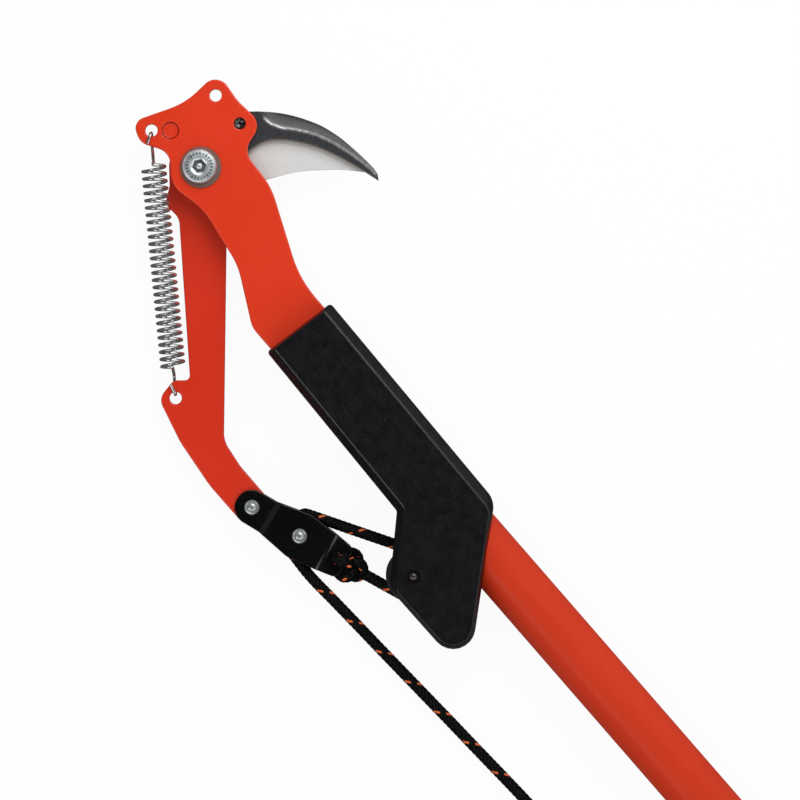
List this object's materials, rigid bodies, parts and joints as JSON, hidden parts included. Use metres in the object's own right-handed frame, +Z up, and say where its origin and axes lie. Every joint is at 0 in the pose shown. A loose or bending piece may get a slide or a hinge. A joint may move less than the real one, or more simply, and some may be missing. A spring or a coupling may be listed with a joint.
{
  "type": "tree pruner pole",
  "caption": "Rope-operated bypass pruner head with hook, swinging blade lever, return spring and pulleys on a long round pole, for cutting high branches.",
  "frame": {"origin": "centre of the pole's butt face, on the pole's axis", "axes": "+X up the pole to the head, +Y to the lever's side, +Z up from the floor that the tool lies on, out of the front of the head plate"},
  "size_m": [1.8518, 0.2598, 0.0384],
  "materials": {
    "orange_paint": "smooth gloss orange paint on steel and aluminium",
    "black_plastic": "black moulded plastic, fine satin grain",
    "plug_plastic": "black plastic plug",
    "forged_black": "dark oxide on forged steel, satin",
    "blade_steel": "ground bright steel",
    "zinc": "bright zinc plating",
    "spring_zinc": "bright zinc plated spring wire",
    "dark_ring": "dark oiled steel washer",
    "bronze": "sintered bronze",
    "dark_steel": "dark oxide steel",
    "strap_black": "black paint on pressed steel, satin gloss",
    "pulley_plastic": "black nylon pulley",
    "rope": "black braided cord with orange tracer flecks",
    "tie_web": "black woven tie band"
  },
  "bodies": {
    "root": {"pole": "orange_paint", "pole_plug": "plug_plastic", "head_plate": "orange_paint", "hook": "forged_black", "hook_pin": "forged_black", "pivot_bolt": "zinc", "pivot_ring": "dark_ring", "pivot_bush": "bronze", "pivot_washer": "zinc", "pivot_nut": "zinc", "sleeve_front": "black_plastic", "sleeve_back": "black_plastic", "sleeve_screws": "zinc", "sleeve_pulley_axle": "dark_steel", "tang_bolts": "zinc", "tang_nuts": "zinc", "tang_spacers": "dark_steel", "rope_wrap_sleeve": "rope", "rope_coil": "rope", "coil_tie": "tie_web", "rope_end_knot": "rope"},
    "lever": {"lever": "orange_paint", "blade": "blade_steel", "blade_rivets": "zinc"},
    "bracket": {"bracket_front": "strap_black", "bracket_back": "strap_black", "lever_rivet": "zinc", "bracket_pulley_rivet": "zinc", "anchor_knot": "rope", "rope_wrap_bracket": "rope"},
    "bracket_pulley": {"bracket_pulley": "pulley_plastic"},
    "sleeve_pulley": {"sleeve_pulley": "pulley_plastic"},
    "spring": {"return_spring": "spring_zinc"},
    "rope": {"rope_fall_upper": "rope", "rope_fall_lower": "rope", "rope_tail": "rope"}
  },
  "joints": [
    {"name": "lever_swing", "type": "hinge", "parent": "root", "child": "lever", "pos_m": [1.813, -0.0183, 0], "axis": [0, 0, 1], "range_deg": [-55, 0]},
    {"name": "bracket_swing", "type": "hinge", "parent": "lever", "child": "bracket", "pos_m": [1.6617, 0.0777, -0.0096], "axis": [0, 0, 1], "range_deg": [-1, 56]},
    {"name": "spring_swing", "type": "hinge", "parent": "root", "child": "spring", "pos_m": [1.8435, -0.0117, 0.003], "axis": [0, 0, 1], "range_deg": [-53, 1], "deforming": ["return_spring"]},
    {"name": "rope_haul", "type": "slide", "parent": "root", "child": "rope", "axis": [0.8651, 0.5016, 0], "range_m": [-0.002, 0.1675], "deforming": ["rope_fall_upper", "rope_fall_lower", "rope_tail"]},
    {"name": "bracket_pulley_spin", "type": "hinge", "parent": "bracket", "child": "bracket_pulley", "pos_m": [1.63412, 0.06874, -0.0096], "axis": [0, 0, 1], "continuous": true},
    {"name": "sleeve_pulley_spin", "type": "hinge", "parent": "root", "child": "sleeve_pulley", "pos_m": [1.5799, 0.0374, -0.0096], "axis": [0, 0, 1], "continuous": true}
  ],
  "couplings": [
    {"joint": "bracket_swing", "follows": "lever_swing", "ratio": -1},
    {"joint": "spring_swing", "follows": "lever_swing", "ratio": 0.934},
    {"joint": "rope_haul", "follows": "lever_swing", "m_per_rad": -0.17239}
  ]
}
